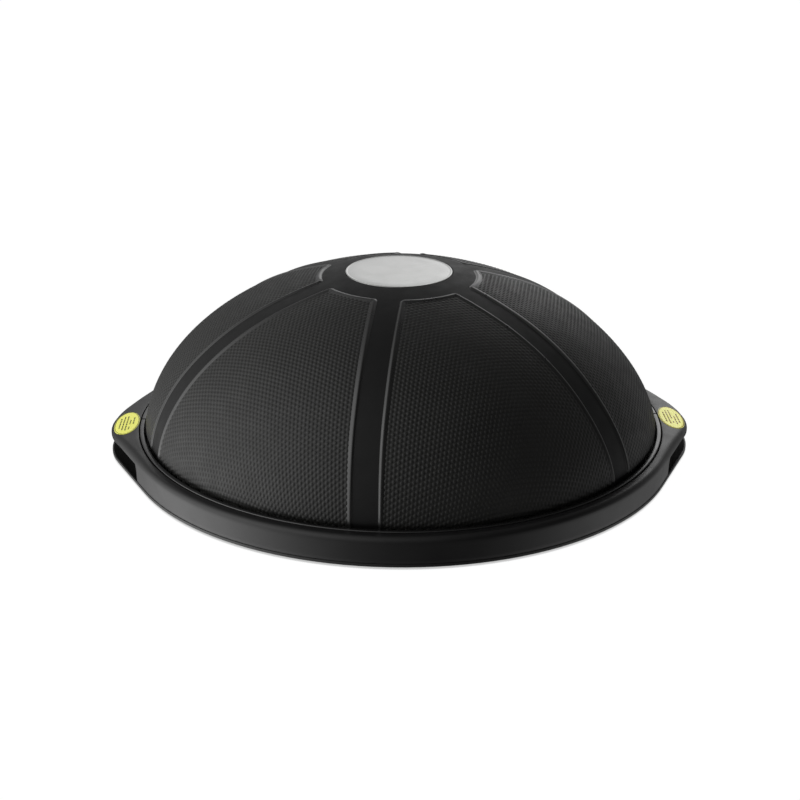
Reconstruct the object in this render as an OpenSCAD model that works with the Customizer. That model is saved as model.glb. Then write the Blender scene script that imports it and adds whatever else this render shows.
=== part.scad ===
// Balance dome trainer: an inflated rubber dome clamped to a round rigid platform
// with two hand-hold ears. The origin is on the floor under the middle of the dome,
// +X runs out through the right ear and +Z is up.

/* [Platform] */
// Radius of the round part of the platform
base_r = 300; // [294:1:306]
// Distance from the middle to the tip of an ear
ear_reach = 320; // [312:1:330]
// Radius of the rounded tip of an ear
ear_tip_r = 110; // [90:1:130]
// Downward slope of an ear's top face, in degrees
ear_slope = 7; // [3:0.5:8]
// Height of the platform's top face above the floor
rim_z = 33; // [31:0.5:36]
// Thickness of the moulded walls
wall_t = 3; // [2:0.5:4]
// Height of the pan's underside above the floor
pan_z = 12; // [11:0.5:13]
// Thickness of the bottom cover
cover_t = 3; // [2.5:0.5:3.5]
// Inset of the bottom cover's edge from the outline of the platform
cover_inset = 0; // [0:0.5:4]
// Number of radial stiffening ribs under the pan
rib_count = 12; // [12:12:24]

/* [Hand slots] */
// Half of the length of a hand slot along the rim
slot_half = 103; // [80:1:108]
// Height of a hand slot's upper edge above the floor
slot_top_z = 24.5; // [20:0.5:26]

/* [Dome] */
// Radius of the dome where it meets the clamp ring
dome_r = 281; // [276:0.5:282]
// Rise of the dome above the clamp ring
dome_rise = 169.7; // [140:0.1:200]
// Thickness of the rubber skin
skin_t = 3; // [2:0.5:4]
// Squareness of the dome's flank: 2 is an ellipse, more is fuller
flank_power = 2.13; // [1.9:0.01:2.4]
// Squareness of the dome's crown: 2 is an ellipse, less is more pointed
crown_power = 1.75; // [1.6:0.01:2.2]
// Slimming of the dome halfway up, as a share of its radius
waist = 0.0124; // [0:0.0001:0.03]
// Extra height of the skin at the edge of the silver disc, which holds the crown flat
crown_lift = 3.1; // [0:0.1:5]
// Radius of the pocket for the silver disc on the crown
disc_r = 58.4; // [40:0.1:70]
// Thickness of the silver disc
disc_t = 1.5; // [1:0.1:2]

/* [Clamp ring] */
// Height of the clamp ring's top above the floor
lip_z = 33.6; // [33:0.1:36]
// Width of the clamp ring
lip_w = 5; // [4.6:0.1:5.2]
// Width of the seam between the two halves of the clamp ring
seam_w = 2.6; // [0.6:0.1:3]

/* [Valve] */
// Radius of the finger hole in the bottom cover
access_r = 11; // [9:0.5:14]
// Radius of the valve plug's shank
plug_r = 3.25; // [2.5:0.05:4]

/* [Labels] */
// Radial width of an ear label
label_w = 29; // [20:1:30]
// Length of an ear label along the rim
label_l = 63; // [40:1:70]
// Distance of an ear label in front of the middle of the ear
label_shift = 7.5; // [0:0.5:10]

/* [Feet and screws] */
// Number of rubber feet
foot_count = 8; // [8:1:8]
// Radius of a rubber foot
foot_r = 11; // [8:0.5:12]
// Gap that the feet leave under the bottom cover
foot_h = 2.5; // [2:0.5:3]
// Radius of the circle on which the feet stand
foot_circle_r = 279; // [275:1:281]
// Number of screws that hold the clamp ring
clamp_screw_count = 24; // [12:12:24]
// Number of cover screws on the outer circle
cover_screw_count = 12; // [12:12:12]
// Radius of a screw's shank
screw_r = 1.5; // [1.2:0.1:1.8]

/* [Hidden] */
$fn = 96;
EPS = 0.01;
ARC_STEPS = 30;
LABEL_STEPS = 48;
GLUE_GAP = 0.3;
DISC_PROUD = 0.3;
LABEL_T = 0.4;
SLIP = 0.05;
// How far a cutting body runs past a face, or a joined body into its neighbour
OVERLAP = 1;

cover_z = foot_h;
body_z = cover_z + cover_t;
floor_z = pan_z + wall_t;
membrane_t = 2.5;
bead_z = floor_z + membrane_t;
bead_t = 4;
clamp_z = bead_z + bead_t;

// The clamp ring lies between the dome's skin and the pan's wall, clear of both
skin_gap = 1.4;
pan_gap = 1;
lip_in_r = dome_r + skin_gap;
lip_out_r = lip_in_r + lip_w;
pan_r = lip_out_r + pan_gap;
pan_out_r = pan_r + wall_t;
clamp_screw_r = (lip_in_r + lip_out_r) / 2;

// Underside of the top land, over the hollow between the two walls
land_t = 4;
hollow_top_z = rim_z - land_t;

ear_x = ear_reach - ear_tip_r;
tangent = acos((base_r - ear_tip_r) / ear_x);

rib_t = 2.5;
rib_gap = 0.5;
ring_rib_r = [130, 262];
rib_in_r = 22;
inner_screw_count = 6;
boss_r = 4.5;
screw_head_r = 3.2;
screw_head_h = 2.2;
cover_screw_l = 9;
clamp_screw_l = 17;
foot_seat = 1;
lip_chamfer = 0.8;

seat_r = 8;
seat_flange_r = 16;
seat_flange_t = 2;
plug_head_r = 7;
plug_head_t = 2.4;
plug_head_z = body_z - SLIP;
plug_top_z = 20;
plug_tip = 1;
pan_hole_r = 12;

// The lift fades out over this radial distance from the disc's edge
crown_fade = 75;
disc_fit = 0.3;
pocket_t = disc_t - DISC_PROUD + GLUE_GAP;
disc_angle = acos(pow(disc_r / dome_r, flank_power / 2));
label_gap = 2.8;
label_offset = label_w / 2 - label_gap;

function dome_radius(a, r) = r * pow(cos(a), 2 / flank_power) * (1 - waist * sin(2 * a));
function lift(r) = crown_lift * pow(max(0, min(1, 1 - (r - disc_r) / crown_fade)), 1.5);
// A point of the dome's outline, from 0 at the clamp ring to 90 at the crown
function dome_point(a, r, rise) = [
    dome_radius(a, r),
    lip_z + rise * pow(sin(a), 2 / crown_power) + lift(dome_radius(a, r))
];
function dome_arc(from, to, r, rise, steps) =
    [for (i = [0:steps]) dome_point(from + (to - from) * i / steps, r, rise)];
function reversed(points) = [for (i = [len(points) - 1:-1:0]) points[i]];

// The disc's edge on the skin, and the skin's inner face
crown = dome_point(disc_angle, dome_r, dome_rise);
inside = dome_arc(0, disc_angle, dome_r - skin_t, dome_rise - skin_t - pocket_t, ARC_STEPS);

// Plan outline of the platform, drawn inset by the given amount
module outline(inset) {
    circle(r = base_r - inset, $fn = 240);
    for (side = [0, 1]) mirror([side, 0]) ear_outline(base_r - inset, ear_tip_r - inset);
}

module ear_outline(big, small) {
    translate([ear_x, 0]) circle(r = small);
    polygon([
        [0, 0],
        [big * cos(tangent), -big * sin(tangent)],
        [ear_x + small * cos(tangent), -small * sin(tangent)],
        [ear_x + small * cos(tangent), small * sin(tangent)],
        [big * cos(tangent), big * sin(tangent)]
    ]);
}

module slab(z0, z1, inset = 0) {
    translate([0, 0, z0]) linear_extrude(z1 - z0) outline(inset);
}

module disc(z0, z1, r) {
    translate([0, 0, z0]) cylinder(h = z1 - z0, r = r, $fn = 240);
}

module ring(z0, z1, r_in, r_out) {
    difference() {
        disc(z0, z1, r_out);
        disc(z0 - OVERLAP, z1 + OVERLAP, r_in);
    }
}

module around(count, r, first = 0) {
    for (i = [0:count - 1]) rotate([0, 0, first + i * 360 / count]) translate([r, 0, 0]) children();
}

module at_cover_screws() {
    around(cover_screw_count, ring_rib_r[1], 180 / cover_screw_count) children();
    around(inner_screw_count, ring_rib_r[0], 90 / inner_screw_count) children();
}

module at_clamp_screws() {
    around(clamp_screw_count, clamp_screw_r, 180 / clamp_screw_count) children();
}

// What the ears' sloping top faces remove from the platform
module above_ears() {
    for (side = [0, 1]) mirror([side, 0, 0])
        translate([pan_out_r, 0, rim_z]) rotate([0, ear_slope, 0])
            translate([0, -base_r, 0]) cube([2 * ear_reach, 2 * base_r, rim_z]);
}

// The hollow between the pan's wall and the outer wall, open underneath
module wall_hollow() {
    difference() {
        slab(body_z - OVERLAP, hollow_top_z, wall_t);
        disc(0, rim_z, pan_out_r);
    }
}

// The two hand slots, cut through the outer wall only
module hand_slots() {
    difference() {
        translate([-2 * ear_reach, -slot_half, body_z - OVERLAP])
            cube([4 * ear_reach, 2 * slot_half, slot_top_z - body_z + OVERLAP]);
        disc(0, rim_z, pan_out_r);
    }
}

// Walls that close the hollow at the ends of the hand slots
module slot_ends() {
    intersection() {
        difference() {
            slab(body_z, hollow_top_z + OVERLAP, wall_t / 2);
            disc(0, rim_z, pan_out_r - OVERLAP);
        }
        for (side = [-1, 1]) translate([-2 * ear_reach, side * (slot_half + wall_t / 2) - wall_t / 2, 0])
            cube([4 * ear_reach, wall_t, rim_z]);
    }
}

module pan_ribs() {
    rib_z = body_z + rib_gap;
    around(rib_count, rib_in_r) translate([0, -rib_t / 2, rib_z])
        cube([pan_out_r - rib_in_r - OVERLAP, rib_t, pan_z - rib_z + EPS]);
    for (r = ring_rib_r) ring(rib_z, pan_z + EPS, r - rib_t / 2, r + rib_t / 2);
    ring(rib_z, pan_z + EPS, rib_in_r - rib_t / 2, rib_in_r + rib_t / 2);
    at_cover_screws() translate([0, 0, body_z]) cylinder(h = pan_z - body_z + EPS, r = boss_r);
}

module platform_body() color("#1c1c1d") difference() {
    union() {
        difference() {
            slab(body_z, rim_z);
            above_ears();
            disc(floor_z, rim_z + OVERLAP, pan_r);
            disc(body_z - OVERLAP, pan_z, pan_r);
            wall_hollow();
            hand_slots();
        }
        slot_ends();
        pan_ribs();
    }
    disc(0, rim_z, pan_hole_r);
    at_cover_screws() cylinder(h = cover_z + screw_head_h + cover_screw_l, r = screw_r + SLIP);
    at_clamp_screws() cylinder(h = rim_z, r = screw_r + SLIP);
}

module bottom_cover() color("#222223") difference() {
    slab(cover_z, body_z, cover_inset);
    disc(0, rim_z, access_r);
    at_cover_screws() cylinder(h = rim_z, r = screw_r + SLIP);
    at_cover_screws() cylinder(h = cover_z + screw_head_h, r = screw_head_r + SLIP);
    around(foot_count, foot_circle_r, 180 / foot_count) cylinder(h = cover_z + foot_seat, r = foot_r + SLIP);
}

// One half of the clamp ring, which presses the dome's bead down on the pan
module clamp_ring_half(turn) color("#232324") {
    half_seam = asin(seam_w / 2 / clamp_screw_r);
    difference() {
        rotate([0, 0, turn + half_seam]) rotate_extrude(angle = 180 - 2 * half_seam, $fn = 240) polygon([
            [lip_in_r, clamp_z],
            [lip_out_r, clamp_z],
            [lip_out_r, lip_z - lip_chamfer],
            [lip_out_r - lip_chamfer, lip_z],
            [lip_in_r + lip_chamfer, lip_z],
            [lip_in_r, lip_z - lip_chamfer]
        ]);
        at_clamp_screws() cylinder(h = pan_z + clamp_screw_l, r = screw_r + SLIP);
    }
}

module clamp_ring_front() clamp_ring_half(180);

module clamp_ring_rear() clamp_ring_half(0);

// The inflated skin, with its clamped bead at the foot and a pocket for the disc
module dome_skin() color("#262626") difference() {
    rotate_extrude($fn = 240) polygon(concat(
        [[dome_r - skin_t, bead_z], [lip_out_r, bead_z], [lip_out_r, clamp_z], [dome_r, clamp_z]],
        dome_arc(0, disc_angle, dome_r, dome_rise, ARC_STEPS),
        [[crown[0], crown[1] - pocket_t], [0, crown[1] - pocket_t], [0, inside[ARC_STEPS][1]]],
        reversed(inside)
    ));
    at_clamp_screws() cylinder(h = clamp_z + OVERLAP, r = screw_r + SLIP);
}

module bladder_floor() color("#303030") difference() {
    disc(floor_z, bead_z, lip_out_r);
    disc(0, rim_z, seat_r);
    at_clamp_screws() cylinder(h = rim_z, r = screw_r + SLIP);
}

module top_disc() color("#c4c6c8") translate([0, 0, crown[1] + DISC_PROUD - disc_t])
    cylinder(h = disc_t, r = crown[0] - disc_fit, $fn = 120);

// The valve's neck reaches down through the pan to the finger hole in the cover
module valve_seat() color("#3a3a3a") rotate_extrude() polygon([
    [plug_r + SLIP, body_z],
    [seat_r, body_z],
    [seat_r, bead_z],
    [seat_flange_r, bead_z],
    [seat_flange_r, bead_z + seat_flange_t],
    [plug_r + SLIP, bead_z + seat_flange_t]
]);

module valve_plug() color("#b9bcbe") rotate_extrude() polygon([
    [0, plug_head_z - plug_head_t],
    [plug_head_r, plug_head_z - plug_head_t],
    [plug_head_r, plug_head_z],
    [plug_r, plug_head_z],
    [plug_r, plug_top_z - plug_tip],
    [plug_r - plug_tip, plug_top_z],
    [0, plug_top_z]
]);

// A round-headed screw that points up, with its head's upper face at height z
module screw(z, length) {
    translate([0, 0, z - screw_head_h]) cylinder(h = screw_head_h, r = screw_head_r, $fn = 32);
    translate([0, 0, z - EPS]) cylinder(h = length, r = screw_r, $fn = 32);
}

module clamp_screws() color("#9a9c9e") at_clamp_screws() screw(pan_z, clamp_screw_l - 1);

module cover_screws() color("#9a9c9e") at_cover_screws() screw(cover_z + screw_head_h, cover_screw_l - 1);

module label(side) color("#eef06a")
    mirror([side, 0, 0]) translate([pan_out_r, 0, rim_z]) rotate([0, ear_slope, 0])
        translate([label_offset, -label_shift, 0]) linear_extrude(LABEL_T) polygon([
            for (i = [0:LABEL_STEPS - 1])
                [label_w / 2 * cos(i * 360 / LABEL_STEPS), label_l / 2 * sin(i * 360 / LABEL_STEPS)]
        ]);

module label_left() label(1);

module label_right() label(0);

module foot(number) color("#2b2b2b")
    rotate([0, 0, (number - 0.5) * 360 / foot_count]) translate([foot_circle_r, 0, 0])
        cylinder(h = foot_h + foot_seat, r = foot_r);

platform_body();
bottom_cover();
clamp_ring_front();
clamp_ring_rear();
dome_skin();
bladder_floor();
top_disc();
valve_seat();
valve_plug();
clamp_screws();
cover_screws();
label_left();
label_right();
for (i = [1:foot_count]) foot(i);
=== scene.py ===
import math
import random

import bmesh
import bpy
import numpy as np
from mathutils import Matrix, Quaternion, Vector


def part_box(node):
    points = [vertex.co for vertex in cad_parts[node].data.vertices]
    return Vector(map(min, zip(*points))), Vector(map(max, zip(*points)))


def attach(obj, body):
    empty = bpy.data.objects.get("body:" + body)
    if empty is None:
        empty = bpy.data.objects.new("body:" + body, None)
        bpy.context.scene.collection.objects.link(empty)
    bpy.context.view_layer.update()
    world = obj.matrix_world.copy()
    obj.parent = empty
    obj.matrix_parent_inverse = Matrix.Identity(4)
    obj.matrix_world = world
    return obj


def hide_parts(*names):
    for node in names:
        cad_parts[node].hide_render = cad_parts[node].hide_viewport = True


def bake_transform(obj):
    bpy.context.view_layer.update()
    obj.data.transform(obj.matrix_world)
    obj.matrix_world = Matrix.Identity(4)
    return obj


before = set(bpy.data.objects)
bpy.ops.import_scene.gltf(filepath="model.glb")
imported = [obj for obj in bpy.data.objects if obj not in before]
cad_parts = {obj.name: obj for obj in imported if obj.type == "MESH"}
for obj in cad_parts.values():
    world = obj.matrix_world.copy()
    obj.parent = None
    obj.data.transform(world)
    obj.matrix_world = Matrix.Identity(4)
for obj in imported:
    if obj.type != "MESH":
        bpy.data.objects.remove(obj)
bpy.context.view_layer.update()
MM = 0.001

# Lengths are in millimetres where they don't say otherwise. Dome, as in the CAD
DOME_R = 281.0
DOME_RISE = 169.7
FLANK_POWER = 2.13
CROWN_POWER = 1.75
WAIST = 0.0124
LIP_Z = 33.6
CROWN_LIFT = 3.1
CROWN_FADE = 75.0
POCKET_R = 58.4
# The inflated dome sits a little off the middle of its ring
DOME_LEAN = 2.5
LEAN_HEIGHT = 90.0
# It bulges a little over the ring: how far in the skin turns at its foot, and from what height
TUCK = 2.4
TUCK_HEIGHT = 6.0

# Pattern moulded into the dome: panels between smooth strips, with a raised welt round each panel
PANELS = 6
STRIP_TURN = math.radians(20.9)
# Distances from a strip's middle and from the crown's axis to the crest of the welt
STRIP_HALF = 14.6
WELT_INNER_R = 86.0
# Radius of a welt's corner at its crest and the least anywhere, and its width at the foot as a share
WELT_CORNER = 3.0
WELT_CORNER_MIN = 0.6
WELT_FOOT = 0.78
# Pips stand in a triangular lattice
PIP_PITCH = 4.95
PIP_HEIGHT = 0.42
# Rings of a pip: radius as a share of the pitch, height as a share of the pip's
PIP_RINGS = [(0.4, 0.03), (0.3316, 0.55), (0.22, 0.93)]
# How far the pips' cells reach under the welt and below the clamp ring's top
PIP_OVERHANG = 0.4
PIP_SKIRT = 4.5
# Distance from the welt's crest within which the pips fade out, and how far the panel's edge then sinks
PIP_FADE = 1.0
PANEL_SINK = 1.3
# Welt profile from the strip side to the panel side: distance from the crest and height
WELT = [(-2.9, -0.15), (-2.3, 0.0), (-1.9, 0.15), (-1.4, 0.55), (-0.9, 0.9), (-0.4, 1.08), (0.1, 1.13),
        (0.8, 1.07), (1.7, 0.85), (2.6, 0.55), (3.5, 0.28), (4.4, 0.05), (5.6, -0.6)]

# The skin and its panels go on below the clamp ring's top for this far
SKIRT_DEPTH = 9.0

# Crown disc: its profile is (radius, height under its top)
DISC_R = 57.8
DISC_PROUD = 0.3
DISC_PROFILE = [(0.02, -0.1), (12, -0.1), (30, -0.11), (45, -0.14), (54.6, -0.2), (55.1, -0.26),
                (55.5, -0.22), (56.0, -0.06), (56.8, 0.0), (57.4, -0.1), (57.7, -0.35), (DISC_R, -0.8),
                (57.6, -1.45), (0.02, -1.45)]
# Step down round the disc: how far outside the disc, and the height off the crown
POCKET_EDGE = 2.2
POCKET_PROFILE = [(1.2, -0.2), (0.7, -0.3), (0.45, -0.6), (0.35, -1.3), (-6, -1.4)]

# Clamp ring, as in the CAD, with the radius of its rounded edges
LIP_IN = 282.4
LIP_OUT = 287.4
LIP_FOOT = 21.5
LIP_ROUND = 1.1
SEAM_W = 2.6

# Platform, as in the CAD, with the draft of its wall and the radius of its small edges
BASE_R = 300.0
EAR_REACH = 320.0
EAR_TIP_R = 110.0
EAR_SLOPE = math.tan(math.radians(7.0))
RIM_Z = 33.0
PAN_R = 288.4
WALL = 3.0
BODY_Z = 5.5
SLOT_Z = 24.5
SLOT_HALF = 103.0
LAND_UNDERSIDE = 28.8
DRAFT = 0.5
EDGE = 0.8
# Radius of the rounded upper edge, which grows along X towards the ears
SHOULDER = 6.0
EAR_SHOULDER = 8.5
SHOULDER_FROM_X = 262.0
SHOULDER_BLEND = 30.0
# Length over which the flat top bends into an ear's slope
SLOPE_BEND = 3.0

# Mesh making: the distance for welding doubled points, and the facets of a rounded corner
WELD = 0.002
CAD_WELD = 0.01
ROUND_STEPS = 4


# ---------------------------------------------------------------- mesh helpers

def make_object(name, verts, faces, material, smooth=True):
    """A mesh object from points in millimetres."""
    mesh = bpy.data.meshes.new(name)
    mesh.from_pydata((np.asarray(verts, float) * MM).tolist(), [], [list(f) for f in faces])
    mesh.validate()
    mesh.update()
    mesh.polygons.foreach_set("use_smooth", [smooth] * len(mesh.polygons))
    piece = bpy.data.objects.new(name, mesh)
    bpy.context.scene.collection.objects.link(piece)
    mesh.materials.append(material)
    return piece


def grid_faces(rows, columns, wrap_rows=False, wrap_columns=False, first=0):
    """Quads of a grid whose points run along columns within each row."""
    faces = []
    for i in range(rows if wrap_rows else rows - 1):
        a, b = i * columns, (i + 1) % rows * columns
        for j in range(columns if wrap_columns else columns - 1):
            k = (j + 1) % columns
            faces.append((first + a + j, first + b + j, first + b + k, first + a + k))
    return faces


class Patches:
    """Gathers grids of points into one mesh."""

    def __init__(self):
        self.verts = []
        self.faces = []

    def grid(self, points, wrap_rows=False, wrap_columns=False, flip=False):
        points = np.asarray(points, float)
        rows, columns = points.shape[:2]
        faces = grid_faces(rows, columns, wrap_rows, wrap_columns, len(self.verts))
        self.verts.extend(points.reshape(-1, 3).tolist())
        self.faces.extend([f[::-1] for f in faces] if flip else faces)

    def cap(self, points, flip=False):
        first = len(self.verts)
        self.verts.extend(np.asarray(points, float).tolist())
        face = tuple(range(first, first + len(points)))
        self.faces.append(face[::-1] if flip else face)

    def make(self, name, material, sharp=None):
        piece = make_object(name, self.verts, self.faces, material)
        work = bmesh.new()
        work.from_mesh(piece.data)
        bmesh.ops.remove_doubles(work, verts=work.verts, dist=WELD * MM)
        bmesh.ops.recalc_face_normals(work, faces=work.faces)
        work.to_mesh(piece.data)
        work.free()
        if sharp is not None:
            piece.data.set_sharp_from_angle(angle=math.radians(sharp))
        return piece


def lathe(profile, angles):
    """Points of a closed profile of (r, z) turned to each angle."""
    profile = np.asarray(profile, float)
    angles = np.asarray(angles, float)
    return np.stack([
        np.outer(np.cos(angles), profile[:, 0]),
        np.outer(np.sin(angles), profile[:, 0]),
        np.repeat(profile[None, :, 1], len(angles), 0),
    ], -1)


def rounded(corners, radius):
    """A closed outline with every corner rounded."""
    out = []
    corners = [np.array(c, float) for c in corners]
    for i, p in enumerate(corners):
        a, b = corners[i - 1], corners[(i + 1) % len(corners)]
        u, v = (a - p) / np.linalg.norm(a - p), (b - p) / np.linalg.norm(b - p)
        half = math.acos(np.clip(u @ v, -1, 1)) / 2
        cut = min(radius / math.tan(half), 0.45 * np.linalg.norm(a - p), 0.45 * np.linalg.norm(b - p))
        r = cut * math.tan(half)
        centre = p + (u + v) / np.linalg.norm(u + v) * (r / math.sin(half))
        s, e = p + u * cut - centre, p + v * cut - centre
        turn = math.atan2(s[0] * e[1] - s[1] * e[0], s @ e)
        for k in range(ROUND_STEPS + 1):
            cos, sin = math.cos(turn * k / ROUND_STEPS), math.sin(turn * k / ROUND_STEPS)
            out.append(centre + [s[0] * cos - s[1] * sin, s[0] * sin + s[1] * cos])
    return np.array(out)


# ------------------------------------------------------------------- materials

def material(name, colour, roughness, **sockets):
    """A new Principled material and its tools: (material, nodes, links, shader)."""
    made = bpy.data.materials.new(name)
    made.use_nodes = True
    nodes, links = made.node_tree.nodes, made.node_tree.links
    shader = nodes["Principled BSDF"]
    shader.inputs["Base Color"].default_value = (*colour, 1)
    shader.inputs["Roughness"].default_value = roughness
    for socket, value in sockets.items():
        shader.inputs[socket.replace("_", " ")].default_value = value
    return made, nodes, links, shader


def noise(nodes, links, scale, detail=4.0, roughness=0.55):
    """A noise texture in object space, in cycles per metre."""
    place = nodes.new("ShaderNodeTexCoord")
    texture = nodes.new("ShaderNodeTexNoise")
    texture.inputs["Scale"].default_value = scale
    texture.inputs["Detail"].default_value = detail
    texture.inputs["Roughness"].default_value = roughness
    links.new(place.outputs["Object"], texture.inputs["Vector"])
    return texture.outputs["Fac"]


def ramp(nodes, links, value, stops):
    """A colour ramp of (position, grey or colour) stops."""
    node = nodes.new("ShaderNodeValToRGB")
    elements = node.color_ramp.elements
    while len(elements) < len(stops):
        elements.new(0.5)
    for element, (position, colour) in zip(elements, stops):
        element.position = position
        element.color = (colour, colour, colour, 1) if isinstance(colour, float) else (*colour, 1)
    links.new(value, node.inputs["Fac"])
    return node.outputs["Color"]


def bump(nodes, links, shader, height, distance):
    """Fine relief, with its depth in metres."""
    node = nodes.new("ShaderNodeBump")
    node.inputs["Strength"].default_value = 1.0
    node.inputs["Distance"].default_value = distance
    links.new(height, node.inputs["Height"])
    links.new(node.outputs["Normal"], shader.inputs["Normal"])


def vary(nodes, links, socket, value, low, high):
    """Drives a socket from one level to another as a texture's value goes up: each level is (value, level)."""
    links.new(ramp(nodes, links, value, [low, high]), socket)


def tinted(colour, share):
    """A colour darkened or lightened by a share."""
    return tuple(min(1, c * share) for c in colour)


def rubber_material(name, colour, roughness, grain_scale, grain_depth, gloss=0.42):
    """Moulded rubber: a slightly cloudy black with a fine even grain."""
    made, nodes, links, shader = material(name, colour, roughness)
    shader.inputs["Specular IOR Level"].default_value = gloss
    vary(nodes, links, shader.inputs["Base Color"], noise(nodes, links, 14.0, 5.0),
         (0.3, tinted(colour, 0.84)), (0.7, tinted(colour, 1.18)))
    vary(nodes, links, shader.inputs["Roughness"], noise(nodes, links, 60.0, 6.0),
         (0.3, roughness - 0.05), (0.7, roughness + 0.06))
    bump(nodes, links, shader, noise(nodes, links, grain_scale, 3.0, 0.6), grain_depth)
    return made


def plastic_material(name, colour, roughness, gloss=0.5):
    """Moulded plastic with a fine spark-eroded grain and faint rubbing."""
    made, nodes, links, shader = material(name, colour, roughness)
    shader.inputs["Specular IOR Level"].default_value = gloss
    vary(nodes, links, shader.inputs["Roughness"], noise(nodes, links, 22.0, 6.0, 0.62),
         (0.35, roughness - 0.05), (0.72, roughness + 0.05))
    vary(nodes, links, shader.inputs["Base Color"], noise(nodes, links, 9.0),
         (0.3, tinted(colour, 0.9)), (0.7, tinted(colour, 1.12)))
    bump(nodes, links, shader, noise(nodes, links, 2600.0, 2.0, 0.5), 0.00003)
    return made


def disc_material():
    """Satin silver face: spun fine rings and a soft cloudy sheen."""
    made, nodes, links, shader = material("silver_disc_face", (0.41, 0.413, 0.405), 0.22, Metallic=0.85)
    place = nodes.new("ShaderNodeTexCoord")
    rings = nodes.new("ShaderNodeTexWave")
    rings.wave_type = "RINGS"
    rings.rings_direction = "Z"
    rings.inputs["Scale"].default_value = 260.0
    rings.inputs["Distortion"].default_value = 1.5
    rings.inputs["Detail"].default_value = 2.0
    links.new(place.outputs["Object"], rings.inputs["Vector"])
    bump(nodes, links, shader, rings.outputs["Fac"], 0.000006)
    vary(nodes, links, shader.inputs["Roughness"], noise(nodes, links, 40.0, 5.0), (0.3, 0.2), (0.7, 0.25))
    return made


# Strength of a painted glow: the fluorescent yellow labels give a constant light of their own, whatever the
# lamps
LABEL_PAINTED_GLOW = 0.42


def label_material():
    """Fluorescent yellow vinyl, with a painted glow: a constant emission that brightens it whatever the light.
    """
    made, nodes, links, shader = material("label_print", (0.8, 0.8, 0.16), 0.34)
    # Painted glow: the label emits a constant light
    shader.inputs["Emission Color"].default_value = (0.9, 0.88, 0.12, 1)
    shader.inputs["Emission Strength"].default_value = LABEL_PAINTED_GLOW
    shader.inputs["Coat Weight"].default_value = 0.25
    shader.inputs["Coat Roughness"].default_value = 0.12
    vary(nodes, links, shader.inputs["Base Color"], noise(nodes, links, 120.0),
         (0.3, (0.78, 0.80, 0.10)), (0.7, (0.86, 0.86, 0.2)))
    bump(nodes, links, shader, noise(nodes, links, 500.0, 3.0), 0.00002)
    return made


def print_material(name, colour):
    """Ink, a little uneven."""
    made, nodes, links, shader = material(name, colour, 0.45)
    vary(nodes, links, shader.inputs["Base Color"], noise(nodes, links, 900.0, 3.0),
         (0.3, tinted(colour, 0.8)), (0.7, tinted(colour, 1.15)))
    return made


def steel_material():
    """Zinc-plated steel."""
    made, nodes, links, shader = material("zinc_steel_grain", (0.55, 0.55, 0.53), 0.38, Metallic=1.0)
    vary(nodes, links, shader.inputs["Roughness"], noise(nodes, links, 300.0, 5.0), (0.3, 0.3), (0.7, 0.5))
    bump(nodes, links, shader, noise(nodes, links, 1500.0, 2.0), 0.00001)
    return made


PANEL_RUBBER = rubber_material("panel_rubber", (0.017, 0.017, 0.016), 0.46, 1500.0, 0.00003)
STRIP_RUBBER = rubber_material("strip_rubber", (0.007, 0.007, 0.007), 0.56, 2200.0, 0.00005, 0.27)
WELT_RUBBER = rubber_material("welt_rubber", (0.0155, 0.0155, 0.015), 0.3, 1200.0, 0.00001, 0.75)
SHELL_PLASTIC = plastic_material("shell_black", (0.009, 0.0088, 0.009), 0.36)
RING_PLASTIC = plastic_material("ring_black", (0.009, 0.0088, 0.009), 0.25, 0.85)
# Painted shade: the hollow seen through the slots is made near-black to stand for the shade inside it
SHADED_HOLLOW_PLASTIC = plastic_material("hollow_painted_shade", (0.0022, 0.0022, 0.0021), 0.7, 0.06)
COVER_PLASTIC = plastic_material("cover_black", (0.012, 0.012, 0.012), 0.42)
FOOT_RUBBER = rubber_material("foot_rubber", (0.03, 0.03, 0.03), 0.7, 900.0, 0.00008)
SILVER = disc_material()
YELLOW = label_material()
LABEL_DARK = print_material("label_dark_print", (0.13, 0.14, 0.04))
LABEL_RED = print_material("label_red_print", (0.36, 0.1, 0.03))
PLUG_PLASTIC = plastic_material("plug_grey", (0.42, 0.43, 0.44), 0.3)
STEEL = steel_material()


# --------------------------------------------------------------- dome geometry

def settled(points):
    """Points of the dome moved over to where the inflated skin sits."""
    t = np.clip((points[..., 2] - LIP_Z) / LEAN_HEIGHT, 0, 1)
    moved = points.copy()
    moved[..., 0] -= DOME_LEAN * t * t * (3 - 2 * t)
    return moved


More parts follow.
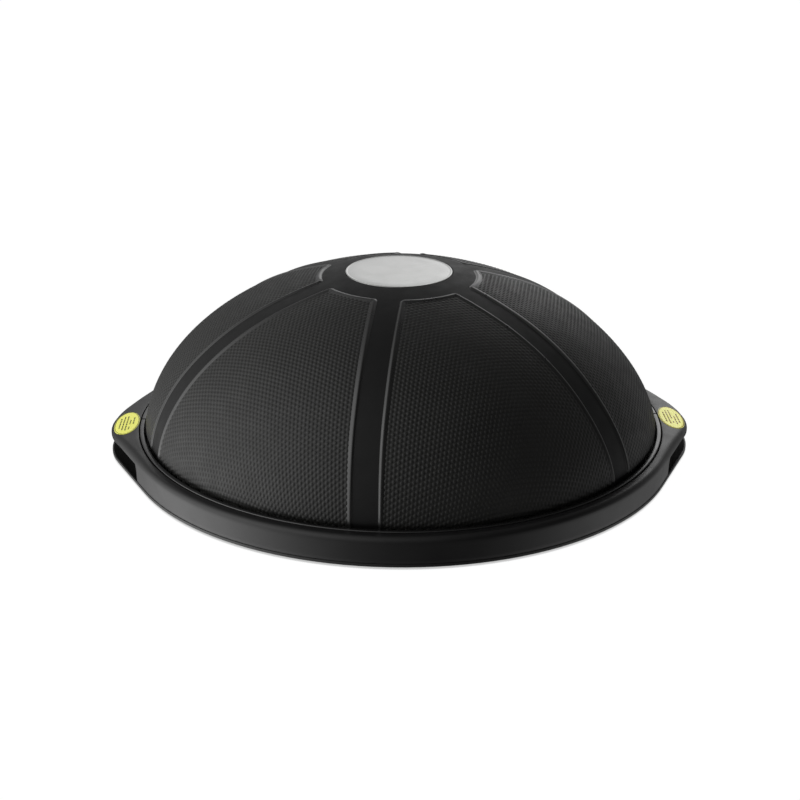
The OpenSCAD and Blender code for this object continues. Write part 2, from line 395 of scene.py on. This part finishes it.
class DomeProfile:
    """The dome's outline by distance along the skin from the crown, down past the clamp ring's top."""

    def __init__(self):
        a = np.linspace(math.pi / 2, 0, 6001)
        c, s = np.clip(np.cos(a), 0, None), np.sin(a)
        self.r = DOME_R * c ** (2 / FLANK_POWER) * (1 - WAIST * np.sin(2 * a))
        lift = CROWN_LIFT * np.clip(1 - (self.r - POCKET_R) / CROWN_FADE, 0, 1) ** 1.5
        self.z = LIP_Z + DOME_RISE * s ** (2 / CROWN_POWER) + lift
        self.r[0], self.r[-1], self.z[-1] = 0.0, DOME_R, LIP_Z
        self.top = float(np.interp(POCKET_R, self.r, self.z))
        self.z = np.minimum(self.z, self.top)
        step = np.hypot(np.diff(self.r), np.diff(self.z))
        self.s = np.concatenate([[0], np.cumsum(step)])
        middle = (self.r[1:] + self.r[:-1]) / 2
        self.area = np.sqrt(2 * np.concatenate([[0], np.cumsum(middle * step)]))
        self.length = self.s[-1]
        dr, dz = np.gradient(self.r, self.s), np.gradient(self.z, self.s)
        size = np.hypot(dr, dz)
        self.nr, self.nz = -dz / size, dr / size
        self.nr[0], self.nz[0], self.nr[-1], self.nz[-1] = 0, 1, 1, 0

    def at_radius(self, r):
        return np.interp(r, self.r, self.s)

    def at_area(self, rho):
        """Distance along the skin for a radius on the flat map that keeps areas."""
        past = rho - self.area[-1]
        inside = np.interp(rho, self.area, self.s)
        return np.where(past > 0, self.length + past * self.area[-1] / DOME_R, inside)

    def place(self, s, azimuth, height):
        """Points at a distance along the skin, an azimuth and a height off the skin."""
        s, azimuth, height = np.broadcast_arrays(s, azimuth, height)
        r, z = np.interp(s, self.s, self.r), np.interp(s, self.s, self.z)
        nr, nz = np.interp(s, self.s, self.nr), np.interp(s, self.s, self.nz)
        z = z - np.maximum(0, s - self.length)
        low = np.clip((LIP_Z + TUCK_HEIGHT - z) / TUCK_HEIGHT, 0, 1)
        reach = r + nr * height - TUCK * (1 - np.sqrt(1 - low * low))
        return settled(np.stack([reach * np.cos(azimuth), reach * np.sin(azimuth), z + nz * height], -1))

    def radius(self, s):
        return np.interp(s, self.s, self.r)


DOME = DomeProfile()


def panel_side(offset):
    """One side of a panel at a distance inside its welt's crest, as rows of (distance along the skin, angle
    from the strip's middle). It runs from below the clamp ring up the strip, round the corner and along the
    inner arc to the middle of the panel."""
    side = STRIP_HALF + offset
    corner = max(WELT_CORNER_MIN, WELT_CORNER - offset)
    centre_side = side + corner
    centre_r = WELT_INNER_R + offset + corner
    along = math.sqrt(centre_r ** 2 - centre_side ** 2)
    start = math.hypot(along, side)
    s_low = DOME.length + SKIRT_DEPTH
    s_high = DOME.at_radius(start)
    s = np.linspace(s_low, s_high, 150)
    narrow = np.interp(s, [s_high, DOME.length], [1.0, WELT_FOOT])
    points = [(d, math.asin((STRIP_HALF + offset * share) / DOME.radius(d))) for d, share in zip(s, narrow)]
    turn_from, turn_to = math.pi / 2, math.pi + math.atan2(centre_side, along)
    for t in np.linspace(turn_from, turn_to, 14)[1:]:
        x = along + corner * math.cos(t)
        y = centre_side - corner * math.sin(t)
        points.append((DOME.at_radius(math.hypot(x, y)), math.atan2(y, x)))
    arc_r = WELT_INNER_R + offset
    s_arc = DOME.at_radius(arc_r)
    for t in np.linspace(math.atan2(centre_side, along), math.pi / PANELS, 26)[1:]:
        points.append((s_arc, t))
    return np.array(points)


def strips_and_welts():
    """The smooth parts of the skin: crown and strips, and the welts round the panels."""
    skin, welts = Patches(), Patches()
    loops = [panel_side(offset) for offset, height in WELT]
    heights = [height for offset, height in WELT]
    outer = loops[0]
    arc = np.isclose(outer[:, 0], outer[-1, 0])
    s_ring = outer[-1, 0]
    across = 9
    for k in range(PANELS):
        strip = STRIP_TURN + k * 2 * math.pi / PANELS
        for side in (1, -1):
            grid = np.stack([DOME.place(loop[:, 0], strip + side * loop[:, 1], height)
                             for loop, height in zip(loops, heights)])
            welts.grid(grid, flip=side < 0)
        edge = outer[~arc]
        edge = np.vstack([edge, outer[arc][:1]])
        t = np.linspace(-1, 1, across)
        skin.grid(np.stack([DOME.place(np.full(across, s), strip + t * angle, heights[0])
                            for s, angle in edge]))
        corner = outer[arc][0, 1]
        between = np.linspace(corner, 2 * math.pi / PANELS - corner, 52)
        angles = strip + np.concatenate([t * corner, between[1:-1]])
        angles = np.append(angles, strip + 2 * math.pi / PANELS - corner)
        ring_s = np.linspace(s_ring, DOME.at_radius(DISC_R + POCKET_EDGE), 12)
        skin.grid(np.stack([DOME.place(np.full(len(angles), s), angles, heights[0]) for s in ring_s]))
    return skin, welts


def crown_circle(r, z, count):
    """Points of a circle round the crown's axis, moved over with the dome."""
    turn = np.linspace(0, 2 * math.pi, count, endpoint=False)
    return settled(np.column_stack([r * np.cos(turn), r * np.sin(turn), np.full(count, z)]))


def disc_pocket(skin):
    """The step down round the silver disc, and the skin under it."""
    turn = np.linspace(0, 2 * math.pi, 360, endpoint=False)
    rows = [DOME.place(np.full(len(turn), DOME.at_radius(DISC_R + POCKET_EDGE)), turn, WELT[0][1])]
    rows += [crown_circle(DISC_R + outside, DOME.top + z, len(turn)) for outside, z in POCKET_PROFILE]
    skin.grid(np.stack(rows), wrap_columns=True)


def panel_inside(x, y):
    """Distance inside the welt's crest of a panel whose middle lies along +X, in plan."""
    y = np.abs(y)
    half = math.pi / PANELS
    side = x * math.sin(half) - y * math.cos(half) - STRIP_HALF
    inner = np.hypot(x, y) - WELT_INNER_R
    near = np.minimum(side, inner)
    a, b = np.minimum(side - WELT_CORNER, 0), np.minimum(inner - WELT_CORNER, 0)
    corner = WELT_CORNER - np.hypot(a, b)
    return np.where((a < 0) & (b < 0), corner, near)


def on_skin(flat):
    """Distance along the skin, azimuth and distance inside the welt of points on a panel's flat map."""
    s = DOME.at_area(np.hypot(flat[:, 0], flat[:, 1]))
    azimuth = np.arctan2(flat[:, 1], flat[:, 0])
    r = DOME.radius(s)
    return s, azimuth, panel_inside(r * np.cos(azimuth), r * np.sin(azimuth))


def panel_mesh(k):
    """A panel's ground with its lattice of round pips, laid out on a flat map that keeps areas."""
    middle = STRIP_TURN + (k + 0.5) * 2 * math.pi / PANELS
    count = int((DOME.area[-1] + SKIRT_DEPTH) / PIP_PITCH) + 2
    # lattice vectors, one along each neighbouring strip
    base = -math.pi / PANELS
    u = PIP_PITCH * np.array([math.cos(base), math.sin(base)])
    v = PIP_PITCH * np.array([math.cos(base + math.pi / 3), math.sin(base + math.pi / 3)])
    i, j = np.meshgrid(np.arange(-2, count), np.arange(-2, count), indexing="ij")
    centre = np.column_stack([i.ravel() * u[0] + j.ravel() * v[0], i.ravel() * u[1] + j.ravel() * v[1]])
    s, azimuth, inside = on_skin(centre)
    centre = centre[(inside > -PIP_OVERHANG) & (s < DOME.length + PIP_SKIRT)]
    n = len(centre)
    angle = base + math.pi / 6 + np.arange(6) * math.pi / 3
    spoke = np.stack([np.cos(angle), np.sin(angle)], -1) * PIP_PITCH
    # a cell's corners are shared by three cells: number them by their place in the lattice
    corner = (centre[:, None] + spoke / math.sqrt(3)).reshape(-1, 2)
    inverse = np.linalg.inv(np.stack([u, v], -1))
    code = np.round(corner @ inverse.T * 3).astype(int)
    first, index = np.unique(code, axis=0, return_index=True, return_inverse=True)[1:]
    index = index.reshape(-1)
    rings = [(centre[:, None] + spoke * share).reshape(-1, 2) for share, height in PIP_RINGS]
    flat = np.concatenate([corner[first], *rings, centre])
    heights = [np.full(6 * n, height) for share, height in PIP_RINGS]
    lift = np.concatenate([np.zeros(len(first)), *heights, np.ones(n)])
    s, azimuth, inside = on_skin(flat)
    sink = np.clip((PIP_FADE - inside) / 2 / PIP_FADE, 0, 1)
    points = DOME.place(s, middle + azimuth, lift * PIP_HEIGHT * (1 - sink) - PANEL_SINK * sink)
    foot, flank, top = (len(first) + 6 * n * ring for ring in range(3))
    peak = len(first) + 18 * n
    faces = []
    cells = np.arange(n)
    for a in range(6):
        b = (a + 1) % 6
        at_a, at_b = cells * 6 + a, cells * 6 + b
        faces += np.stack([index[at_a], index[at_b], foot + at_b, foot + at_a], -1).tolist()
        faces += np.stack([foot + at_a, foot + at_b, flank + at_b, flank + at_a], -1).tolist()
        faces += np.stack([flank + at_a, flank + at_b, top + at_b, top + at_a], -1).tolist()
        faces += np.stack([top + at_a, top + at_b, peak + cells], -1).tolist()
    return make_object(f"dome_panel_{k + 1}", points, faces, PANEL_RUBBER)


def crown_disc():
    """The flat silver disc with a raised bright rim."""
    disc = Patches()
    top = DOME.top + DISC_PROUD
    disc.grid(np.stack([crown_circle(r, top + z, 240) for r, z in DISC_PROFILE]), wrap_columns=True)
    return disc.make("crown_disc", SILVER, sharp=40)


# ----------------------------------------------------------------- ring and base

def ring_half(name, start):
    """One half of the clamp ring, from one seam to the other."""
    half_seam = math.asin(SEAM_W / 2 / LIP_IN)
    profile = rounded([(LIP_IN, LIP_FOOT), (LIP_OUT, LIP_FOOT), (LIP_OUT, LIP_Z), (LIP_IN, LIP_Z)], LIP_ROUND)
    angles = np.linspace(start + half_seam, start + math.pi - half_seam, 361)
    points = lathe(profile, angles)
    ring = Patches()
    ring.grid(points, wrap_columns=True)
    ring.cap(points[0])
    ring.cap(points[-1])
    return ring.make(name, RING_PLASTIC, sharp=50)


def outline():
    """Points and outward normals round the platform's plan outline, from the tip of the right ear.
    The slots' ends are stations of their own."""
    ear_x = EAR_REACH - EAR_TIP_R
    tangent = math.acos((BASE_R - EAR_TIP_R) / ear_x)
    quarter = []
    for t in np.linspace(0, tangent, 24):
        quarter.append(((ear_x + EAR_TIP_R * math.cos(t), EAR_TIP_R * math.sin(t)), t))
    a = np.array(quarter[-1][0])
    b = BASE_R * np.array([math.cos(tangent), math.sin(tangent)])
    cut = (SLOT_HALF - a[1]) / (b[1] - a[1])
    for w in np.concatenate([np.linspace(0, cut, 16)[1:], np.linspace(cut, 1, 9)[1:]]):
        quarter.append((tuple(a + (b - a) * w), tangent))
    for t in np.linspace(tangent, math.pi / 2, 70)[1:]:
        quarter.append(((BASE_R * math.cos(t), BASE_R * math.sin(t)), t))
    stations = []
    for flip_x, flip_y in ((1, 1), (-1, 1), (-1, -1), (1, -1)):
        run = [((x * flip_x, y * flip_y), (flip_x * math.cos(t), flip_y * math.sin(t)))
               for (x, y), t in quarter]
        if flip_x * flip_y < 0:
            run = run[::-1]
        stations += run[:-1]
    points, normals = zip(*stations)
    return np.array(points), np.array(normals)


def top_height(x):
    """Height of the platform's top face, which slopes away along the ears."""
    over = (np.abs(x) - PAN_R - WALL) / SLOPE_BEND
    return RIM_Z - EAR_SLOPE * SLOPE_BEND * np.logaddexp(0, over)


def shoulder_at(x):
    """Radius of the platform's rounded upper edge, which is larger on the ears."""
    t = np.clip((np.abs(x) - SHOULDER_FROM_X) / SHOULDER_BLEND, 0, 1)
    return SHOULDER + (EAR_SHOULDER - SHOULDER) * t * t * (3 - 2 * t)


def ear_height(x, y):
    """Height of an ear's top, with its rounded edge."""
    ear_x = EAR_REACH - EAR_TIP_R
    reach = np.hypot(np.abs(x) - ear_x, y)
    inside = EAR_TIP_R - EAR_SHOULDER
    over = np.clip(reach - inside, 0, EAR_SHOULDER)
    crest_x = ear_x + (np.abs(x) - ear_x) * np.minimum(1, inside / reach)
    return top_height(crest_x) - EAR_SHOULDER + np.sqrt(EAR_SHOULDER ** 2 - over ** 2)


def platform_shell():
    """The platform's skin with its rounded upper edge and hand slots, and the hollow inside the slots, painted
    near-black as shade.
    """
    shell = Patches()
    rim, normal = outline()
    n = len(rim)
    azimuth = np.arctan2(rim[:, 1], rim[:, 0])
    inner = np.stack([np.cos(azimuth), np.sin(azimuth)], -1)

    def at_inner(radius, z):
        return np.column_stack([inner * radius, np.broadcast_to(z, n)])

    def at_rim(inset, z):
        inset = np.reshape(np.broadcast_to(inset, n), (n, 1))
        return np.column_stack([rim - normal * inset, np.broadcast_to(z, n)])

    shoulder = shoulder_at(rim[:, 0])
    edge = at_rim(shoulder, 0)[:, :2]
    start = inner * (PAN_R + 0.9)
    # from inside the pan's wall over the flat land to the rounded shoulder
    columns = [at_inner(PAN_R, 22.0), at_inner(PAN_R, RIM_Z - 0.8), at_inner(PAN_R + 0.3, RIM_Z - 0.25)]
    for w in (0, 0.25, 0.5, 0.75):
        plan = start + (edge - start) * w
        columns.append(np.column_stack([plan, top_height(plan[:, 0])]))
    crest = top_height(edge[:, 0])
    for t in np.radians([90, 78, 66, 54, 42, 30, 18, 8]):
        columns.append(at_rim(shoulder * (1 - math.cos(t)), crest - shoulder * (1 - math.sin(t))))
    wall_top = at_rim(DRAFT * 0.1, SLOT_Z + EDGE)
    shell.grid(np.stack([*columns, wall_top], 1), wrap_rows=True)

    slot = np.abs(rim[:, 1]) <= SLOT_HALF + 0.01
    # over a slot: under the wall's lip, up its back, under the land, down the pan's wall and out on the cover
    under = np.stack([
        wall_top,
        at_rim(0.35, SLOT_Z + 0.25),
        at_rim(1.0, SLOT_Z),
        at_rim(WALL - 0.7, SLOT_Z),
        at_rim(WALL, SLOT_Z + 0.7),
        at_rim(WALL, 27.4),
        at_rim(WALL + 1.4, LAND_UNDERSIDE),
        at_inner(PAN_R + WALL + 1.2, LAND_UNDERSIDE),
        at_inner(PAN_R + WALL, 27.6),
        at_inner(PAN_R + WALL, 16.0),
        at_inner(PAN_R + WALL, BODY_Z + 0.06),
        at_rim(1.6, BODY_Z + 0.06),
    ], 1)
    # beside a slot: down the outer wall and under its foot
    wall = np.stack([
        wall_top,
        at_rim(DRAFT * 0.45, 17.0),
        at_rim(DRAFT * 0.8, 10.0),
        at_rim(DRAFT * 0.97, BODY_Z + 0.3),
        at_rim(DRAFT + 0.1, BODY_Z + 0.1),
        at_rim(DRAFT + 0.3, BODY_Z),
        at_rim(DRAFT + WALL, BODY_Z),
    ], 1)
    inside = Patches()
    for run in runs(slot):
        shell.grid(under[run][:, :4])
        inside.grid(under[run][:, 3:])
    for run in runs(~slot | np.isclose(np.abs(rim[:, 1]), SLOT_HALF)):
        body = wall[run].copy()
        for end, neighbour in ((0, 1), (-1, -2)):
            body[end, 1:, :2] -= normal[run[end]] * EDGE
            body[end, 1:, 1] += np.sign(body[neighbour, 1:, 1] - body[end, 1:, 1]) * 0.3
        shell.grid(body)
        for end in (0, -1):
            pan_x = inner[run[end], 0] * (PAN_R + WALL - 1)
            x, y = body[end, 1, :2]
            roof = LAND_UNDERSIDE + 0.1
            shell.cap([(x, y, roof), *body[end, 1:-1], (pan_x, y, BODY_Z), (pan_x, y, roof)])
    return (shell.make("platform_shell", SHELL_PLASTIC, sharp=42),
            inside.make("platform_hollow", SHADED_HOLLOW_PLASTIC))


def runs(mask):
    """Lists of consecutive stations where mask is true, round the closed outline."""
    n = len(mask)
    first = next(i for i in range(n) if mask[i] and not mask[i - 1])
    found, current = [], []
    for k in range(n):
        i = (first + k) % n
        if mask[i]:
            current.append(i)
        elif current:
            found.append(current)
            current = []
    if current:
        found.append(current)
    return found


def bevelled(node, name, width, made):
    """A copy of a CAD part with its sharp edges rounded over, and its level faces shaded flat."""
    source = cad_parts[node]
    copy = bpy.data.objects.new(name, source.data.copy())
    copy.matrix_world = source.matrix_world.copy()
    bpy.context.scene.collection.objects.link(copy)
    work = bmesh.new()
    work.from_mesh(copy.data)
    bmesh.ops.remove_doubles(work, verts=work.verts, dist=CAD_WELD * MM)
    bmesh.ops.dissolve_limit(work, angle_limit=math.radians(1), verts=work.verts, edges=work.edges)
    sharp = [e for e in work.edges if len(e.link_faces) == 2 and e.calc_face_angle(0) > math.radians(40)]
    bmesh.ops.bevel(work, geom=sharp, offset=width * MM, segments=3, profile=0.5, affect="EDGES",
                    clamp_overlap=True)
    work.to_mesh(copy.data)
    work.free()
    copy.data.set_sharp_from_angle(angle=math.radians(35))
    copy.data.polygons.foreach_set("use_smooth", [abs(face.normal.z) < 0.999 for face in copy.data.polygons])
    copy.data.materials.clear()
    copy.data.materials.append(made)
    return copy


# ---------------------------------------------------------------------- labels

# Share of the CAD sticker's box that the printed face covers, and how far it sits towards the middle
LABEL_FIT = np.array([0.95, 0.985])
LABEL_INWARD = 0.5
# Heights of the sticker's face and of its ink above the ear
LABEL_LIFT = 0.3
INK_LIFT = 0.36
# Rows of dashes: place across the sticker and reach along it
DASH_COLUMNS = [(-7.2, 14.0), (-3.6, 19.0), (0.0, 21.0), (3.6, 19.0), (7.2, 14.0)]
DASH_HALF = 0.7


def ear_label(side):
    """An oval sticker on the ear's sloping top, with a dark outline and rows of plain dashes."""
    low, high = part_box("label_right" if side > 0 else "label_left")
    centre = (np.array(low) + np.array(high)) / 2 / MM - [side * LABEL_INWARD, 0, 0]
    half = (np.array(high) - np.array(low))[:2] / 2 / MM * LABEL_FIT

    def spot(x, y, lift):
        x, y = np.broadcast_arrays(centre[0] + np.asarray(x, float), centre[1] + np.asarray(y, float))
        return np.stack([x, y, ear_height(x, y) + lift], -1)

    turn = np.linspace(0, 2 * math.pi, 96, endpoint=False)
    oval_x, oval_y = np.cos(turn), np.sin(turn)
    face = Patches()
    rings = [(1.0, 0.0), (1.0, 0.2), *((share, LABEL_LIFT) for share in np.linspace(0.985, 0.01, 30))]
    rows = [spot(half[0] * share * oval_x, half[1] * share * oval_y, lift) for share, lift in rings]
    face.grid(np.stack(rows), wrap_columns=True)
    side_name = "right" if side > 0 else "left"
    label = face.make(f"label_face_{side_name}", YELLOW, sharp=40)

    ink = Patches()
    rows = [spot((half[0] - inset) * oval_x, (half[1] - inset) * oval_y, INK_LIFT)
            for inset in (0.5, 0.75, 1.0, 1.25)]
    ink.grid(np.stack(rows), wrap_columns=True)
    lines = random.Random(5 + side)
    for column, reach in DASH_COLUMNS:
        y = -reach
        while y < reach - 2:
            dash = lines.uniform(2.2, 6.5)
            if lines.random() < 0.85:
                across = (column - DASH_HALF, column, column + DASH_HALF)
                ink.grid(spot(*np.meshgrid(across, (y, min(y + dash, reach))), INK_LIFT))
            y += dash + lines.uniform(0.9, 1.4)
    dashes = ink.make(f"label_print_{side_name}", LABEL_DARK if side < 0 else LABEL_RED)
    return label, dashes


# -------------------------------------------------------------------- assembly


def place_piece(piece, body, slot, *nodes):
    """Attaches a piece to its body and hides the CAD nodes it stands for. The slot argument is not used."""
    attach(piece, body)
    if nodes:
        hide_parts(*nodes)


def bend_with_crown(piece):
    """Bakes the transform of a piece of the dome into its mesh."""
    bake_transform(piece)


skin, welts = strips_and_welts()
bend_with_crown(welts.make("dome_welts", WELT_RUBBER))
disc_pocket(skin)
skin_piece = skin.make("dome_strips", STRIP_RUBBER)
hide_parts("dome_skin")
bend_with_crown(skin_piece)
for k in range(PANELS):
    bend_with_crown(panel_mesh(k))

place_piece(crown_disc(), "crown", "silver_disc", "top_disc")
place_piece(ring_half("ring_front", math.pi), "platform", "ring_plastic", "clamp_ring_front")
place_piece(ring_half("ring_rear", 0.0), "platform", "ring_plastic", "clamp_ring_rear")
shell, hollow = platform_shell()
place_piece(shell, "platform", "shell_plastic", "platform_body")
place_piece(hollow, "platform", "shell_plastic")
for side, node in ((1, "label_right"), (-1, "label_left")):
    label, dashes = ear_label(side)
    place_piece(label, "platform", "yellow_label", node)
    place_piece(dashes, "platform", "yellow_label")
# CAD parts that show, with the width of their rounded edges
for node, name, width, made, body, slot in (
    ("bottom_cover", "cover_plate", 0.3, COVER_PLASTIC, "platform", "shell_plastic"),
    ("valve_seat", "valve_neck", 0.5, FOOT_RUBBER, "platform", "soft_rubber"),
    ("valve_plug", "valve_stopper", 0.5, PLUG_PLASTIC, "plug", "plug_plastic"),
    ("clamp_screws", "pan_screws", 0.4, STEEL, "platform", "zinc_steel"),
    ("cover_screws", "plate_screws", 0.4, STEEL, "platform", "zinc_steel"),
    *((f"foot_{i}", f"foot_pad_{i}", 0.7, FOOT_RUBBER, "platform", "soft_rubber") for i in range(1, 9)),
):
    place_piece(bevelled(node, name, width, made), body, slot, node)
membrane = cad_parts["bladder_floor"]
membrane.data.materials.clear()
membrane.data.materials.append(STRIP_RUBBER)


# ---------------------------------------------------------------- camera, light

# The camera turns round the target, and both are placed in metres
CAMERA_AZIMUTH = math.radians(-2.3)
CAMERA_ELEVATION = math.radians(20.91)
CAMERA_DISTANCE = 1.754
CAMERA_ROLL = math.radians(0.27)
TARGET = Vector((0, 0, 0.0843))
LENS = 71.5
SENSOR = 36
SHIFT_X = -0.001
SHIFT_Y = -0.0329


def add_camera():
    """The camera at the photograph's viewing angle."""
    data = bpy.data.cameras.new("camera")
    data.lens = LENS
    data.sensor_width = SENSOR
    data.shift_x = SHIFT_X
    data.shift_y = SHIFT_Y
    data.clip_end = 50
    camera = bpy.data.objects.new("camera", data)
    bpy.context.scene.collection.objects.link(camera)
    flat = CAMERA_DISTANCE * math.cos(CAMERA_ELEVATION)
    offset = Vector((math.sin(CAMERA_AZIMUTH) * flat, -math.cos(CAMERA_AZIMUTH) * flat,
                     CAMERA_DISTANCE * math.sin(CAMERA_ELEVATION)))
    camera.location = TARGET + offset
    turn = (-offset).to_track_quat("-Z", "Y") @ Quaternion((0, 0, 1), CAMERA_ROLL)
    camera.rotation_euler = turn.to_euler()
    bpy.context.scene.camera = camera


# The floor's radius in millimetres, and how close to the trainer its painted contact shadow reaches, in metres
FLOOR_R = 12000
CONTACT_SHADOW_REACH = 0.0035


def add_floor():
    """A plain white glowing floor, with a painted contact shadow: its glow dims by ambient occlusion close
    under the trainer.
    """
    made, nodes, links, shader = material("floor_white", (0.02, 0.02, 0.02), 0.9)
    shader.inputs["Specular IOR Level"].default_value = 0.0
    shader.inputs["Emission Color"].default_value = (1, 1, 1, 1)
    # Painted contact shadow: ambient occlusion dims the floor's glow close under the trainer
    near = nodes.new("ShaderNodeAmbientOcclusion")
    near.samples = 16
    near.inputs["Distance"].default_value = CONTACT_SHADOW_REACH
    rise = nodes.new("ShaderNodeMapRange")
    rise.inputs["From Min"].default_value = 0.15
    rise.inputs["From Max"].default_value = 0.8
    links.new(near.outputs["AO"], rise.inputs["Value"])
    links.new(rise.outputs["Result"], shader.inputs["Emission Strength"])
    ring = np.linspace(0, 2 * math.pi, 96, endpoint=False)
    points = np.stack([FLOOR_R * np.cos(ring), FLOOR_R * np.sin(ring), np.zeros(len(ring))], -1)
    floor = make_object("floor", points, [tuple(range(len(ring)))], made, smooth=False)
    floor.visible_glossy = False
    floor.visible_diffuse = False
    floor.visible_shadow = False


# Soft light of the studio's surround: azimuth from the front towards +X and elevation in degrees,
# sharpness and strength of each soft box or stretch of pale floor
SOFT_BOXES = [
    (270, 5, 6, 1.0), (270, 40, 6, 1.07), (315, 5, 6, 0.23), (315, 40, 6, 0.5),
    (135, 5, 6, 0.23), (135, 40, 6, 0.05), (270, -35, 6, 2.1), (90, -35, 6, 0.8), (180, -35, 6, 0.22),
    (162, 18, 40, 1.7), (180, 18, 40, 0.85), (200, 18, 40, 0.3),
]
AMBIENT = 0.004


def add_world():
    """Plain white to look at, and broad soft boxes at the left, the back and the right to light the trainer."""
    world = bpy.data.worlds.new("studio")
    bpy.context.scene.world = world
    world.use_nodes = True
    nodes, links = world.node_tree.nodes, world.node_tree.links
    place = nodes.new("ShaderNodeTexCoord")

    def maths(operation, *values):
        node = nodes.new("ShaderNodeMath")
        node.operation = operation
        for socket, value in zip(node.inputs, values):
            if isinstance(value, (int, float)):
                socket.default_value = value
            else:
                links.new(value, socket)
        return node.outputs[0]

    total = AMBIENT
    for azimuth, elevation, sharpness, strength in SOFT_BOXES:
        az, el = math.radians(azimuth), math.radians(elevation)
        facing = nodes.new("ShaderNodeVectorMath")
        facing.operation = "DOT_PRODUCT"
        links.new(place.outputs["Generated"], facing.inputs[0])
        facing.inputs[1].default_value = (math.sin(az) * math.cos(el), -math.cos(az) * math.cos(el),
                                          math.sin(el))
        falloff = maths("EXPONENT", maths("MULTIPLY_ADD", facing.outputs["Value"], sharpness, -sharpness))
        total = maths("MULTIPLY_ADD", falloff, strength, total)
    links.new(total, nodes["Background"].inputs["Strength"])
    nodes["Background"].inputs["Color"].default_value = (1, 1, 1, 1)
    plain = nodes.new("ShaderNodeBackground")
    path = nodes.new("ShaderNodeLightPath")
    mix = nodes.new("ShaderNodeMixShader")
    links.new(path.outputs["Is Camera Ray"], mix.inputs["Fac"])
    links.new(nodes["Background"].outputs[0], mix.inputs[1])
    links.new(plain.outputs[0], mix.inputs[2])
    links.new(mix.outputs[0], nodes["World Output"].inputs["Surface"])
    plain.inputs["Color"].default_value = (1, 1, 1, 1)


add_camera()
add_floor()
add_world()
bpy.context.scene.view_settings.view_transform = "Standard"
bpy.context.scene.view_settings.look = "None"
